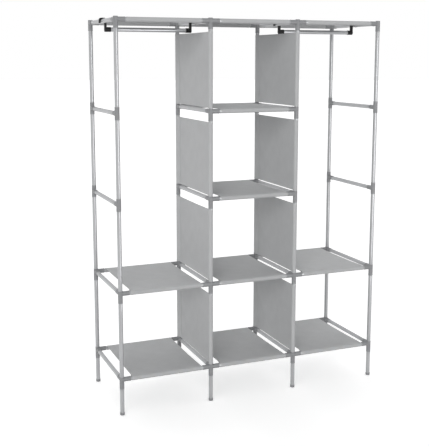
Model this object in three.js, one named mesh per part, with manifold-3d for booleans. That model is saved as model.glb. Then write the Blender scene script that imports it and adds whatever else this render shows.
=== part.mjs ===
// A portable wardrobe: a frame of steel tubes pushed into plastic connectors, three bays wide,
// with fabric shelves and dividers sleeved over the tubes and a garment rail in each outer bay.
// Millimetres. +X is right, +Y is back, +Z is up. The origin is on the floor under the middle.

import * as THREE from 'three';
import { mergeVertices } from 'three/addons/utils/BufferGeometryUtils.js';
import Module from 'manifold-3d';

const wasm = await Module();
wasm.setup();

// Overall size, measured over the connectors and the feet
const overallWidth = 1300;
const overallDepth = 450;
const overallHeight = 1750;
const bottomLevelHeight = 165;
const levelCount = 5;

// Steel tubes
const tubeOuter = 19;
const tubeWall = 0.5;
const tubeSideCount = 8;

// Connectors: sockets that take the tube ends
const socketClearance = 0.3;
const socketWall = 0.9;
const endClearance = 0.3;
const barrelLength = 55;
const barrelRim = 1.3;
const topBarrelLength = 49;
const topRim = 2.3;
const armReach = 40.5;
const armStop = 1.5;

// Foot caps
const footClearance = 0.3;
const footWall = 0.8;
const footHeight = 12;
const footFloor = 2.5;

// Fabric shelves and dividers
const clothThickness = 0.9;
const sleeveClearance = 0.3;
const bareTubeShown = 7;
const dividerTopGap = 6;
const topDividerTopGap = 11;
const dividerBottomGap = 2;

// Garment rails and their hooks
const railDrop = 36;
const hookClearance = 0.3;
const hookThickness = 4.6;
const hookStem = 8;
const hookLip = 9.5;
const hookWidth = 18;
const hookSideCount = 8;
const cupClearance = 0.3;
const cupWall = 1;
const cupReach = 37;

// How far every cut runs past the face that it opens
const cutOverrun = 5;

// Sizes that follow from the ones above
const tubeRadius = tubeOuter / 2;
const socketRadius = tubeRadius + socketClearance;
const connectorRadius = socketRadius + socketWall;
const sleeveRadius = tubeRadius + sleeveClearance;
const sleeveOuterRadius = sleeveRadius + clothThickness;
const hookInnerRadius = tubeRadius + hookClearance;
const cupRadius = tubeRadius + cupClearance;
const topLevelHeight = overallHeight - topRim - connectorRadius;
const levelPitch = (topLevelHeight - bottomLevelHeight) / (levelCount - 1);
const bayPlaces = [
  { name: 'left', xShare: -1 },
  { name: 'centre', xShare: 0 },
  { name: 'right', xShare: 1 },
];
const bayPitch = (overallWidth - 2 * connectorRadius) / bayPlaces.length;
const depthPitch = overallDepth - 2 * connectorRadius;

const levels = Array.from({ length: levelCount }, (_, level) => bottomLevelHeight + level * levelPitch);
const topLevel = levelCount - 1;
const fullWidthLevels = [0, 1, topLevel];

// The four pairs of uprights, placed in shares of a bay's width
const pairPlaces = [
  { name: 'left_outer', xShare: -1.5 },
  { name: 'left_inner', xShare: -0.5 },
  { name: 'right_inner', xShare: 0.5 },
  { name: 'right_outer', xShare: 1.5 },
];
const pairs = pairPlaces.map(({ name, xShare }) => (
  { name, x: xShare * bayPitch, outer: name.endsWith('outer') }
));

const rows = [
  { name: 'front', y: -depthPitch / 2, inward: '+y' },
  { name: 'back', y: depthPitch / 2, inward: '-y' },
];

// The centre bay has a shelf at every level, the outer bays only at the levels that run right across
const bays = bayPlaces.map(({ name, xShare }) => (
  { name, x: xShare * bayPitch, levels: name === 'centre' ? [...levels.keys()] : fullWidthLevels }
));

const finishes = {
  steel: { color: '#b9babc', roughness: 0.38, metalness: 0.55 },
  greyPlastic: { color: '#8d8e90', roughness: 0.5, metalness: 0 },
  blackPlastic: { color: '#161617', roughness: 0.45, metalness: 0 },
  cloth: { color: '#a4a5a6', roughness: 0.95, metalness: 0 },
};

// Geometry helpers

// The two ways between a three.js geometry and a solid that can be joined and cut
function toSolid(geometry) {
  geometry.deleteAttribute('normal');
  geometry.deleteAttribute('uv');
  const merged = mergeVertices(geometry);
  const vertProperties = new Float32Array(merged.attributes.position.array);
  const triVerts = new Uint32Array(merged.index.array);
  return new wasm.Manifold(new wasm.Mesh({ numProp: 3, vertProperties, triVerts }));
}

function toGeometry(solid) {
  const { vertProperties, triVerts } = solid.getMesh();
  const geometry = new THREE.BufferGeometry();
  geometry.setAttribute('position', new THREE.BufferAttribute(new Float32Array(vertProperties), 3));
  geometry.setIndex(new THREE.BufferAttribute(new Uint32Array(triVerts), 1));
  return geometry;
}

function joined(geometries) {
  return geometries.map(toSolid).reduce((whole, piece) => whole.add(piece));
}

// A round bar along one axis, with its corners on the other two axes
function bar(axis, radius, from, to) {
  const geometry = new THREE.CylinderGeometry(radius, radius, to - from, tubeSideCount);
  geometry.translate(0, (from + to) / 2, 0);
  if (axis === 'x') geometry.rotateZ(-Math.PI / 2);
  if (axis === 'z') geometry.rotateX(Math.PI / 2);
  return geometry;
}

// A bar that starts some way from the origin and runs out along a signed axis such as '-y'
function spoke(direction, radius, from, to) {
  const [sign, axis] = direction;
  return sign === '+' ? bar(axis, radius, from, to) : bar(axis, radius, -to, -from);
}

// An outline of radii and heights, turned about the second axis
function revolved(outline) {
  return new THREE.LatheGeometry(outline.map(([r, height]) => new THREE.Vector2(r, height)), tubeSideCount);
}

// An open tube along one axis
function tube(axis, from, to) {
  const inner = tubeRadius - tubeWall;
  const wall = [[inner, from], [tubeRadius, from], [tubeRadius, to], [inner, to]];
  const geometry = revolved([...wall, wall[0]]);
  if (axis === 'x') geometry.rotateZ(-Math.PI / 2);
  if (axis === 'z') geometry.rotateX(Math.PI / 2);
  return geometry;
}

function mesh(name, geometry, finish) {
  const result = new THREE.Mesh(geometry, new THREE.MeshStandardMaterial(finish));
  result.name = name;
  return result;
}

// Frame

// How far a connector's barrel reaches above and below its arms
function barrelSpan(pair, level) {
  if (level === topLevel) {
    const above = connectorRadius + topRim;
    return { above, below: topBarrelLength - above };
  }
  if (pair.outer && !fullWidthLevels.includes(level)) {
    return { above: barrelLength / 2, below: barrelLength / 2 };
  }
  const above = connectorRadius + barrelRim;
  return { above, below: barrelLength - above };
}

// The sides on which a connector holds a cross rail
function crossArms(pair, level) {
  const beside = bays.filter((bay) => Math.abs(bay.x - pair.x) < bayPitch && bay.levels.includes(level));
  return beside.map((bay) => (bay.x > pair.x ? '+x' : '-x'));
}

// A side frame: two uprights, the depth rails between them and a connector at each crossing.
// The tubes' bores meet inside the connectors, and the cross arms stay open as sockets.
function sideFrame(pair) {
  const bore = tubeRadius - tubeWall;
  const legEnd = footFloor + endClearance;
  const socketBottom = connectorRadius + armStop;
  const outsides = [];
  const hollows = [];
  for (const row of rows) {
    const put = (geometry, height) => geometry.translate(0, row.y, height);
    outsides.push(put(bar('z', tubeRadius, legEnd, topLevelHeight), 0));
    hollows.push(put(bar('z', bore, legEnd - cutOverrun, topLevelHeight), 0));
    for (const [level, height] of levels.entries()) {
      const { above, below } = barrelSpan(pair, level);
      outsides.push(put(bar('z', connectorRadius, -below, above), height));
      outsides.push(put(spoke(row.inward, connectorRadius, 0, armReach), height));
      for (const direction of crossArms(pair, level)) {
        outsides.push(put(spoke(direction, connectorRadius, 0, armReach), height));
        hollows.push(put(spoke(direction, socketRadius, socketBottom, armReach + cutOverrun), height));
      }
    }
  }
  for (const height of levels) {
    outsides.push(bar('y', tubeRadius, -depthPitch / 2, depthPitch / 2).translate(0, 0, height));
    hollows.push(bar('y', bore, -depthPitch / 2, depthPitch / 2).translate(0, 0, height));
  }
  const solid = joined(outsides).subtract(joined(hollows));
  const result = mesh(`side_frame_${pair.name}`, toGeometry(solid), finishes.steel);
  result.position.x = pair.x;
  return result;
}

// A tube whose ends stand in the sockets of two side frames
function crossRail(bay, row, level) {
  const half = bayPitch / 2 - connectorRadius - armStop - endClearance;
  const name = `cross_rail_${bay.name}_${row.name}_level_${level + 1}`;
  const result = mesh(name, tube('x', -half, half), finishes.steel);
  result.position.set(bay.x, row.y, levels[level]);
  return result;
}

// A cup that stands on the floor and holds the end of a leg
function footCap(pair, row) {
  const inner = tubeRadius + footClearance;
  const outer = inner + footWall;
  const wall = [[outer, 0], [outer, footHeight], [inner, footHeight], [inner, footFloor]];
  const cup = revolved([[0, 0], ...wall, [0, footFloor]]).rotateX(Math.PI / 2);
  const result = mesh(`foot_cap_${pair.name}_${row.name}`, cup, finishes.greyPlastic);
  result.position.set(pair.x, row.y, 0);
  return result;
}

// Fabric

// A sheet of cloth with a sleeve at its front and its back edge, for two tubes along the given axis
function sleevedCloth(sheet, axis, length) {
  const half = length / 2;
  const sleeves = rows.map(({ y }) => bar(axis, sleeveOuterRadius, -half, half).translate(0, y, 0));
  const bores = rows.map(({ y }) => (
    bar(axis, sleeveRadius, -half - cutOverrun, half + cutOverrun).translate(0, y, 0)
  ));
  return toGeometry(joined([sheet, ...sleeves]).subtract(joined(bores)));
}

function shelf(bay, level) {
  const length = bayPitch - 2 * (armReach + bareTubeShown);
  const sheet = new THREE.BoxGeometry(length, depthPitch, clothThickness);
  sheet.translate(0, 0, sleeveOuterRadius - clothThickness / 2);
  const solid = sleevedCloth(sheet, 'x', length);
  const result = mesh(`shelf_${bay.name}_level_${level + 1}`, solid, finishes.cloth);
  result.position.set(bay.x, 0, levels[level]);
  return result;
}

function divider(pair, level) {
  const gap = level + 1 === topLevel ? topDividerTopGap : dividerTopGap;
  const bottom = levels[level] + barrelSpan(pair, level).above + dividerBottomGap;
  const top = levels[level + 1] - barrelSpan(pair, level + 1).below - gap;
  const sheet = new THREE.BoxGeometry(clothThickness, depthPitch, top - bottom);
  const solid = sleevedCloth(sheet, 'z', top - bottom);
  const result = mesh(`divider_${pair.name}_level_${level + 1}`, solid, finishes.cloth);
  result.position.set(pair.x, 0, (bottom + top) / 2);
  return result;
}

// Garment rails

// The strip that hooks over a depth rail: a lip, an arch and a stem, drawn from the rail's centre
function hookStrip() {
  const outer = hookInnerRadius + hookThickness;
  const stemFace = hookInnerRadius + hookStem;
  const shape = new THREE.Shape();
  shape.moveTo(-outer, -hookLip);
  shape.lineTo(-outer, 0);
  shape.absarc(0, 0, outer, Math.PI, Math.PI / 2, true);
  shape.absellipse(0, 0, stemFace, outer, Math.PI / 2, 0, true, 0);
  shape.lineTo(stemFace, -railDrop);
  shape.lineTo(hookInnerRadius, -railDrop);
  shape.lineTo(hookInnerRadius, 0);
  shape.absarc(0, 0, hookInnerRadius, 0, Math.PI, false);
  shape.lineTo(-hookInnerRadius, -hookLip);
  const strip = new THREE.ExtrudeGeometry(shape, {
    depth: hookWidth,
    curveSegments: hookSideCount / 2,
    bevelEnabled: false,
  });
  return strip.translate(0, 0, -hookWidth / 2).rotateX(Math.PI / 2);
}

// A hook whose cup opens towards +X
function hookBody() {
  const stemFace = hookInnerRadius + hookStem;
  const cup = bar('x', cupRadius + cupWall, hookInnerRadius, cupReach).translate(0, 0, -railDrop);
  const bore = bar('x', cupRadius, stemFace, cupReach + cutOverrun).translate(0, 0, -railDrop);
  return toGeometry(joined([hookStrip(), cup]).subtract(toSolid(bore)));
}

function garmentRail(bay) {
  const group = new THREE.Group();
  const half = bayPitch / 2 - hookInnerRadius - hookStem - endClearance;
  const rod = mesh(`garment_rod_${bay.name}`, tube('x', -half, half), finishes.steel);
  rod.position.z = -railDrop;
  const leftHook = mesh(`hook_${bay.name}_bay_left`, hookBody(), finishes.blackPlastic);
  leftHook.position.x = -bayPitch / 2;
  const rightHook = mesh(`hook_${bay.name}_bay_right`, hookBody(), finishes.blackPlastic);
  rightHook.position.x = bayPitch / 2;
  rightHook.rotation.z = Math.PI;
  group.add(rod, leftHook, rightHook);
  group.position.set(bay.x, 0, topLevelHeight);
  return group;
}

// Assembly

const frame = new THREE.Group();
for (const pair of pairs) {
  frame.add(sideFrame(pair));
  for (const row of rows) frame.add(footCap(pair, row));
}
for (const bay of bays) {
  for (const level of bay.levels) {
    for (const row of rows) frame.add(crossRail(bay, row, level));
  }
}

const fabric = new THREE.Group();
for (const bay of bays) {
  for (const level of bay.levels) fabric.add(shelf(bay, level));
}
for (const pair of pairs.filter(({ outer }) => !outer)) {
  for (let level = 0; level < topLevel; level += 1) fabric.add(divider(pair, level));
}

const wardrobe = new THREE.Group();
wardrobe.add(frame, fabric);
for (const bay of bays.filter(({ x }) => x !== 0)) wardrobe.add(garmentRail(bay));

// How far a garment rail slides each way before its hooks meet the connectors
const endPlay = 1;
const railTravel = depthPitch / 2 - armReach - hookWidth / 2 - endPlay;
console.log(`garment rail travel ${railTravel.toFixed(1)} mm each way`);

export default wardrobe;
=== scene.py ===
# %% [markdown]
# # A wardrobe of steel tubes and cloth
#
# The real object is a light clothes store that is pushed together by hand. Thin steel tubes stand in
# moulded plastic connectors, cloth shelves and dividers are sleeved over the tubes, and a rail for
# coats hangs in each outer bay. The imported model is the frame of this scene. Its boxes and corners
# give every place and size, so each new piece is made exactly where its plain solid was.

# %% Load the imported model
import math

import bpy
import numpy as np
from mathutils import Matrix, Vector


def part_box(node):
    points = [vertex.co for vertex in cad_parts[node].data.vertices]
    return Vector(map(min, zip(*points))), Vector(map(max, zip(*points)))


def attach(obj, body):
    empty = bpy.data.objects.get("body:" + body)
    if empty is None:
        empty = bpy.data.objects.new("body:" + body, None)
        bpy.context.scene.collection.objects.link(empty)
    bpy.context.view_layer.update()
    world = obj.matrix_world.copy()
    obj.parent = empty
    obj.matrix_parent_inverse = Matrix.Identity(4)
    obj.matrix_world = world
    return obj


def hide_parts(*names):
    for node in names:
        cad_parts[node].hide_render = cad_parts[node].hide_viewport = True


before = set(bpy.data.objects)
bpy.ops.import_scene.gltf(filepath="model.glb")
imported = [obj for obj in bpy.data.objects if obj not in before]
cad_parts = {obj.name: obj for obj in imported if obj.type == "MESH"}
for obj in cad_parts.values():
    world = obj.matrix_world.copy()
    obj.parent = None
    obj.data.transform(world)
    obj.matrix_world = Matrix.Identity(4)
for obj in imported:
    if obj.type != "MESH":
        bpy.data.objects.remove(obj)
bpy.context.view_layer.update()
MM = 0.001  # one millimetre in metres, the unit of the scene

# %% [markdown]
# ## The camera
#
# The camera stands at the front left, with the lens a little under the height of the top shelf.
# The feet and the tops of the uprights were found in the picture, and the eye's place, its two
# turns and the focal length were solved from them by least squares. The lens looks slightly down,
# and a small downward shift of the frame does the rest, so that the wardrobe fills the frame and
# its uprights stay almost parallel in it.

# %% Camera
PICTURE_HEIGHT = 447  # pixels, the long side, which the sensor's width belongs to
SENSOR = 36.0  # millimetres
FOCAL_PIXELS = 838.8
AXIS_ROW = 190.0  # pixels from the top, where the lens axis meets the picture
EYE = (-1.6035, -3.6585, 1.5726)  # metres
TURNED_RIGHT = math.radians(22.25)
TILTED_DOWN = math.radians(8.88)

camera_data = bpy.data.cameras.new("camera")
camera_data.sensor_width = SENSOR
camera_data.lens = SENSOR * FOCAL_PIXELS / PICTURE_HEIGHT
camera_data.shift_y = (AXIS_ROW - PICTURE_HEIGHT / 2) / PICTURE_HEIGHT
camera = bpy.data.objects.new("camera", camera_data)
camera.location = EYE
camera.rotation_euler = (math.pi / 2 - TILTED_DOWN, 0, -TURNED_RIGHT)
bpy.context.scene.collection.objects.link(camera)
bpy.context.scene.camera = camera
print("lens", round(camera_data.lens, 1), "mm, shift", round(camera_data.shift_y, 3))

# %% [markdown]
# ## Measures of the frame
#
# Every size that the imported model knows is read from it, so that the two can't drift apart. A foot
# cap's box gives the place of its upright, a cross rail's box the height of its level and the
# tube's radius, and the corners of a side frame tell how far each connector's barrel reaches.

# %% Measures
PAIRS = ("left_outer", "left_inner", "right_inner", "right_outer")
ROWS = ("front", "back")
BAYS = {"left": PAIRS[0:2], "centre": PAIRS[1:3], "right": PAIRS[2:4]}
LEVELS = range(1, 6)
TOP_LEVEL = LEVELS[-1]
HAIR = 0.01 * MM  # slack for rounding where two places are compared


def box_of(node):
    """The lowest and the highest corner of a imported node, as two arrays in metres."""
    return tuple(np.array(corner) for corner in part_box(node))


def middle(node):
    return sum(box_of(node)) / 2


def extent(node):
    low, high = box_of(node)
    return high - low


def corners_of(node):
    """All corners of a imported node's mesh, one row each."""
    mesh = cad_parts[node].data
    flat = np.empty(3 * len(mesh.vertices))
    mesh.vertices.foreach_get("co", flat)
    return flat.reshape(-1, 3)


upright_place = {(pair, row): middle(f"foot_cap_{pair}_{row}")[:2] for pair in PAIRS for row in ROWS}
level_height = {level: middle(f"cross_rail_centre_front_level_{level}")[2] for level in LEVELS}
tube_radius = extent("cross_rail_centre_front_level_1")[2] / 2
depth_pitch = upright_place["left_outer", "back"][1] - upright_place["left_outer", "front"][1]
connector_radius = (extent("side_frame_left_outer")[1] - depth_pitch) / 2
arm_reach = extent("side_frame_left_inner")[0] / 2
level_pitch = level_height[2] - level_height[1]
shelf_levels = {bay: [level for level in LEVELS if f"shelf_{bay}_level_{level}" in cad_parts]
                for bay in BAYS}


def barrel_span(pair, row, level):
    """How far a connector's barrel reaches above and below its arms: the highest and the lowest of
    the corners that lie within half a level of the arms and on the barrel's skin."""
    corners = corners_of(f"side_frame_{pair}")
    away = np.hypot(*(corners[:, :2] - upright_place[pair, row]).T)
    rise = corners[:, 2] - level_height[level]
    skin = (tube_radius + connector_radius) / 2
    near = (abs(rise) < level_pitch / 2) & (away > skin) & (away < connector_radius + HAIR)
    return rise[near].max(), -rise[near].min()


print("tube radius", round(tube_radius / MM, 2), "connector radius", round(connector_radius / MM, 2))
print("arm reach", round(arm_reach / MM, 2), "levels", [round(v / MM) for v in level_height.values()])
print("shelves at the levels", shelf_levels)
for level in LEVELS:
    reach = barrel_span("left_outer", "front", level)
    print("barrel at level", level, [round(float(v) / MM, 1) for v in reach])

# %% [markdown]
# ## From arrays to meshes
#
# A surface is worked out as a grid of points, and the same few helpers turn each grid into a mesh.
# One joins neighbouring points to quads, one merges points that coincide, so that seams and poles
# close, and one writes the arrays into the mesh in a single call each. The sign of the enclosed
# volume tells whether the faces point outwards, and the mesh is turned if they don't.

# %% Mesh helpers
SHARP_OVER = 35  # degrees between two faces, over which their edge is drawn sharp


def grid_quads(rows, columns, wrap_rows=False, wrap_columns=False):
    """Numbers of the four corners of each cell of a grid of points that are stored row by row."""
    row = np.arange(rows if wrap_rows else rows - 1)[:, None]
    column = np.arange(columns if wrap_columns else columns - 1)[None, :]
    next_row, next_column = (row + 1) % rows, (column + 1) % columns
    corners = [row * columns + column, row * columns + next_column,
               next_row * columns + next_column, next_row * columns + column]
    return np.stack(corners, axis=-1).reshape(-1, 4)


def stacked(parts):
    """Several (points, quads) pairs as one pair."""
    counts = np.cumsum([0] + [len(points) for points, _ in parts[:-1]])
    points = np.concatenate([points for points, _ in parts])
    return points, np.concatenate([quads + count for (_, quads), count in zip(parts, counts)])


def welded(points, quads, grain=0.001 * MM):
    """Merges points that fall on the same grain of space. A quad that loses one corner becomes a
    triangle, and one that loses two is dropped. Returns the points, the quads, the triangles and
    for each old point the number of the new one."""
    grains = np.round(points / grain)
    _, first, number = np.unique(grains, axis=0, return_index=True, return_inverse=True)
    number = number.ravel()
    quads = number[quads]
    same = quads == np.roll(quads, -1, axis=1)
    whole = quads[~same.any(axis=1)]
    pinched = quads[same.sum(axis=1) == 1]
    kept = ~same[same.sum(axis=1) == 1]
    return points[first], whole, pinched[kept].reshape(-1, 3), number


def volume_of(points, quads, triangles):
    """Signed volume: the sum over all triangles of the corner vectors' triple product over six."""
    every = np.concatenate([quads[:, [0, 1, 2]], quads[:, [0, 2, 3]], triangles])
    a, b, c = (points[every[:, k]] for k in range(3))
    return float(np.einsum("ij,ij->i", a, np.cross(b, c)).sum() / 6)


def new_mesh(name, points, quads, triangles=None, map_points=None, sharp=SHARP_OVER):
    """Writes the arrays into a mesh, faces outwards and smooth but for edges over `sharp` degrees.
    `map_points` gives each point's place on the flat cloth, in metres, for the UV map."""
    triangles = np.empty((0, 3), int) if triangles is None else triangles
    if volume_of(points, quads, triangles) < 0:
        quads, triangles = quads[:, ::-1], triangles[:, ::-1]
    corners = np.concatenate([quads.ravel(), triangles.ravel()]).astype(np.int32)
    starts = np.concatenate([4 * np.arange(len(quads)), 4 * len(quads) + 3 * np.arange(len(triangles))])
    mesh = bpy.data.meshes.new(name)
    mesh.vertices.add(len(points))
    mesh.vertices.foreach_set("co", np.ascontiguousarray(points, dtype=np.float32).ravel())
    mesh.loops.add(len(corners))
    mesh.loops.foreach_set("vertex_index", corners)
    mesh.polygons.add(len(starts))
    mesh.polygons.foreach_set("loop_start", starts.astype(np.int32))
    if map_points is not None:
        layer = mesh.uv_layers.new(name="cloth")
        layer.uv.foreach_set("vector", map_points[corners].astype(np.float32).ravel())
    mesh.update(calc_edges=True)
    mesh.validate()
    mesh.shade_smooth()
    mesh.set_sharp_from_angle(angle=math.radians(sharp))
    return mesh


# %% [markdown]
# A piece is a mesh with its finish, the body that it moves with, and the plain solids that it stands
# for. One function says all of that, so that no piece is forgotten.

# %% Piece helper
made = {}


def add_piece(name, mesh, finish, slot, body, *nodes):
    """Puts a mesh into the scene as a finished piece of the object."""
    mesh.materials.append(finish)
    piece = bpy.data.objects.new(name, mesh)
    bpy.context.scene.collection.objects.link(piece)
    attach(piece, body)
    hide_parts(*nodes)
    made[name] = piece
    return piece


# %% [markdown]
# Tubes, caps and cups are turned shapes: a profile is carried round an axis, as on a lathe. Where
# the profile starts and ends on the axis, each end's ring of points is merged to one pole.

# %% Turned shapes
def placed(points, axis, at):
    """Points that were drawn round the third axis, turned to run along `axis` and moved to `at`."""
    turned_by = {"x": [2, 0, 1], "y": [1, 2, 0], "z": [0, 1, 2]}[axis]
    return points[:, turned_by] + np.asarray(at)


def revolved(profile, sides, ridge=None):
    """A surface of revolution round the third axis. The profile is rows of (distance out, height).
    Each profile point is carried round a circle: (out cos angle, out sin angle, height). `ridge`
    is one column of points and how far each of its rows stands out further."""
    angle = 2 * np.pi * np.arange(sides) / sides
    out = np.repeat(profile[:, :1], sides, axis=1)
    if ridge is not None:
        column, rise = ridge
        out[:, column] += rise
    height = np.repeat(profile[:, 1:], sides, axis=1)
    points = np.stack([out * np.cos(angle), out * np.sin(angle), height], axis=-1)
    return points.reshape(-1, 3)


def turned(profile, sides, axis="z", at=(0, 0, 0)):
    """A closed skin from a profile that starts and ends on the axis: points, quads, triangles."""
    points = placed(revolved(profile, sides), axis, at)
    return welded(points, grid_quads(len(profile), sides, wrap_columns=True))[:3]


def rounding(centre_out, centre_height, radius, start, stop, count):
    """Points of a circular arc of a profile, from one angle to another in degrees, where 0 is
    straight out and 90 straight up."""
    angle = np.radians(np.linspace(start, stop, count))
    centre = [centre_out, centre_height]
    return centre + radius * np.stack([np.cos(angle), np.sin(angle)], axis=1)


# %% [markdown]
# ## Finishes
#
# Four materials are seen on the object, and each is named for what the real one is. The colours
# are sRGB values that one function turns to the linear numbers that a shader needs. Patterns are
# worked out from real sizes in millimetres, and those too fine for a picture of the whole wardrobe
# are drawn a little coarser.

# %% Shader helpers
def linear(code):
    """An sRGB colour code such as '#a0a0a0' as four linear numbers."""
    parts = np.array([int(code[k:k + 2], 16) for k in (1, 3, 5)]) / 255
    parts = np.where(parts <= 0.04045, parts / 12.92, ((parts + 0.055) / 1.055) ** 2.4)
    return (*parts, 1.0)


def add_node(owner, kind, inputs=None, **settings):
    """Adds a shader node to a material or the world. Each input is a value, or another node's
    output to link to it."""
    node = owner.node_tree.nodes.new(kind)
    for setting, value in settings.items():
        setattr(node, setting, value)
    for socket, value in (inputs or {}).items():
        if isinstance(value, bpy.types.NodeSocket):
            owner.node_tree.links.new(value, node.inputs[socket])
        else:
            node.inputs[socket].default_value = value
    return node


def new_material(name, constants):
    """A material with one Principled shader. Constants are set on the shader's own sockets."""
    material = bpy.data.materials.new(name)
    material.use_nodes = True
    shader = material.node_tree.nodes["Principled BSDF"]
    for socket, value in constants.items():
        shader.inputs[socket].default_value = value
    return material, shader


def finished(material, shader, patterns):
    """Links each pattern to the shader's socket of that name, and gives the material back."""
    for socket, output in patterns.items():
        material.node_tree.links.new(output, shader.inputs[socket])
    return material


def mottle(material, place, size, codes, detail=3.0):
    """Soft cloudy patches of a given size in metres between two sRGB colours. The noise seldom
    leaves the span from 0.35 to 0.65, so the two colours stand at its ends."""
    noise = add_node(material, "ShaderNodeTexNoise",
                     {"Vector": place, "Scale": 1 / size, "Detail": detail})
    ramp = add_node(material, "ShaderNodeValToRGB", {"Fac": noise.outputs["Fac"]})
    for stop, at, code in zip(ramp.color_ramp.elements, (0.35, 0.65), codes):
        stop.position = at
        stop.color = linear(code)
    return ramp.outputs["Color"]


# %% [markdown]
# ### Coated steel
#
# The tubes are rolled from thin steel strip, welded along their length and sprayed with a silver
# grey enamel. The paint gives a satin gloss with a soft bright line along each tube, and a fine
# orange peel that blurs it. Aluminium flake in it makes it nearly half metallic. Its tone drifts a
# little over some 60 mm of tube, and its gloss over some 12 mm.

# %% Coated steel
def coated_steel():
    material, shader = new_material("coated_steel", {"Metallic": 0.45, "Specular IOR Level": 0.3})
    place = add_node(material, "ShaderNodeTexCoord").outputs["Object"]
    colour = mottle(material, place, 60 * MM, ("#aeafb1", "#b3b4b6"))
    spray = add_node(material, "ShaderNodeTexNoise",
                     {"Vector": place, "Scale": 1 / (12 * MM), "Detail": 4.0})
    rough = add_node(material, "ShaderNodeMapRange",
                     {"Value": spray.outputs["Fac"], "To Min": 0.27, "To Max": 0.33})
    # Orange peel is about half a millimetre wide, drawn at 1.6 mm so that it shows
    peel = add_node(material, "ShaderNodeTexNoise",
                    {"Vector": place, "Scale": 1 / (1.6 * MM), "Detail": 2.0})
    bump = add_node(material, "ShaderNodeBump",
                    {"Height": peel.outputs["Fac"], "Strength": 0.06, "Distance": 0.03 * MM})
    return finished(material, shader, {
        "Base Color": colour, "Roughness": rough.outputs["Result"], "Normal": bump.outputs["Normal"]})


steel = coated_steel()
print("made", steel.name)

# %% [markdown]
# ### Moulded plastic
#
# Connectors and foot caps are injection moulded in grey polypropylene, the hooks in black. The
# mould is lightly spark eroded, which leaves a fine even grain. The pigment clouds a little over
# some 9 mm, and the plastic cools with faint flow marks in its gloss, some 14 mm across.

# %% Moulded plastic
def moulded_plastic(name, codes, roughness, gloss):
    material, shader = new_material(name, {"IOR": 1.49, "Specular IOR Level": gloss})
    place = add_node(material, "ShaderNodeTexCoord").outputs["Object"]
    colour = mottle(material, place, 9 * MM, codes)
    flow = add_node(material, "ShaderNodeTexNoise",
                    {"Vector": place, "Scale": 1 / (14 * MM), "Detail": 2.0})
    rough = add_node(material, "ShaderNodeMapRange", {
        "Value": flow.outputs["Fac"], "To Min": roughness - 0.06, "To Max": roughness + 0.08})
    # Spark erosion grain is some 0.1 mm wide, drawn at 0.7 mm
    grain = add_node(material, "ShaderNodeTexNoise",
                     {"Vector": place, "Scale": 1 / (0.7 * MM), "Detail": 3.0})
    bump = add_node(material, "ShaderNodeBump",
                    {"Height": grain.outputs["Fac"], "Strength": 0.2, "Distance": 0.06 * MM})
    return finished(material, shader, {
        "Base Color": colour, "Roughness": rough.outputs["Result"], "Normal": bump.outputs["Normal"]})


grey_plastic = moulded_plastic("grey_polypropylene", ("#8c8d8f", "#939496"), 0.46, 0.35)
black_plastic = moulded_plastic("black_polypropylene", ("#0b0b0c", "#111113"), 0.5, 0.25)
print("made", grey_plastic.name, "and", black_plastic.name)

# %% [markdown]
# ### Spunbond cloth
#
# The shelves are polypropylene non-woven: endless threads are laid down at random and pressed
# together between hot rollers, one of which has rows of small pins. The eye sees a matt grey sheet
# with cloudy patches where more or fewer threads came to lie, and a quilt of small pressed dots.
# The pattern follows the flat cloth, so it reads the UV map, which holds metres.

# %% Spunbond cloth
def spunbond_cloth():
    material, shader = new_material("spunbond_cloth", {
        "Roughness": 0.92, "Specular IOR Level": 0.25, "Sheen Weight": 0.12, "Sheen Roughness": 0.5})
    flat = add_node(material, "ShaderNodeUVMap", uv_map="cloth").outputs["UV"]
    cloud = mottle(material, flat, 55 * MM, ("#bbbcbd", "#bfc0c1"), detail=4.0)
    # The threads are some 0.02 mm thick, and strands of them are drawn at 1.1 mm
    strands = add_node(material, "ShaderNodeTexNoise",
                       {"Vector": flat, "Scale": 1 / (1.1 * MM), "Detail": 3.0})
    # The pins stand 1.3 mm apart and are drawn 3 mm apart, on lines at 45 degrees to the edges. A
    # dot is flat out to 0.18 of that from its middle, and level with the cloth from 0.32
    slanting = add_node(material, "ShaderNodeMapping",
                        {"Vector": flat, "Rotation": (0, 0, math.radians(45))})
    cells = add_node(material, "ShaderNodeTexVoronoi",
                     {"Vector": slanting.outputs["Vector"], "Scale": 1 / (3 * MM), "Randomness": 0.0})
    pins = add_node(material, "ShaderNodeMapRange",
                    {"Value": cells.outputs["Distance"], "From Min": 0.18, "From Max": 0.32})
    shade = add_node(material, "ShaderNodeMapRange", {"Value": pins.outputs["Result"], "To Min": 0.95})
    colour = add_node(material, "ShaderNodeMix",
                      {"Factor": 1.0, "A": cloud, "B": shade.outputs["Result"]},
                      data_type="RGBA", blend_type="MULTIPLY")
    height = add_node(material, "ShaderNodeMath",
                      {0: strands.outputs["Fac"], 1: 0.5, 2: pins.outputs["Result"]},
                      operation="MULTIPLY_ADD")
    bump = add_node(material, "ShaderNodeBump",
                    {"Height": height.outputs["Value"], "Strength": 0.5, "Distance": 0.15 * MM})
    return finished(material, shader, {
        "Base Color": colour.outputs["Result"], "Normal": bump.outputs["Normal"]})


cloth = spunbond_cloth()
print("made", cloth.name)

# %% [markdown]
# ## Steel tubes
#
# A tube could be a cylinder with a hole, but the real one has a wall of half a millimetre, ends that
# the saw left slightly rounded, and a low bead where the strip was welded. So its profile is a
# closed loop, up the outside, over the lip, down the inside and over the other lip, carried round
# the axis, and one column of its outside stands a little proud as the bead. Each bead is turned by
# the golden angle from the last, since nobody lines them up.

# %% Tube function
TUBE_WALL = 0.5 * MM
TUBE_SIDES = 48
WALL_RINGS = 4  # rings of points along each wall
LIP_POINTS = 5  # points over each rounded lip
BEAD_HEIGHT = 0.1 * MM
GOLDEN_SHARE = 0.381966  # of a full turn
tube_lengths = []
print("tubes are", round(2 * tube_radius / MM, 1), "mm across, walls", round(TUBE_WALL / MM, 1), "mm")


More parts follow.
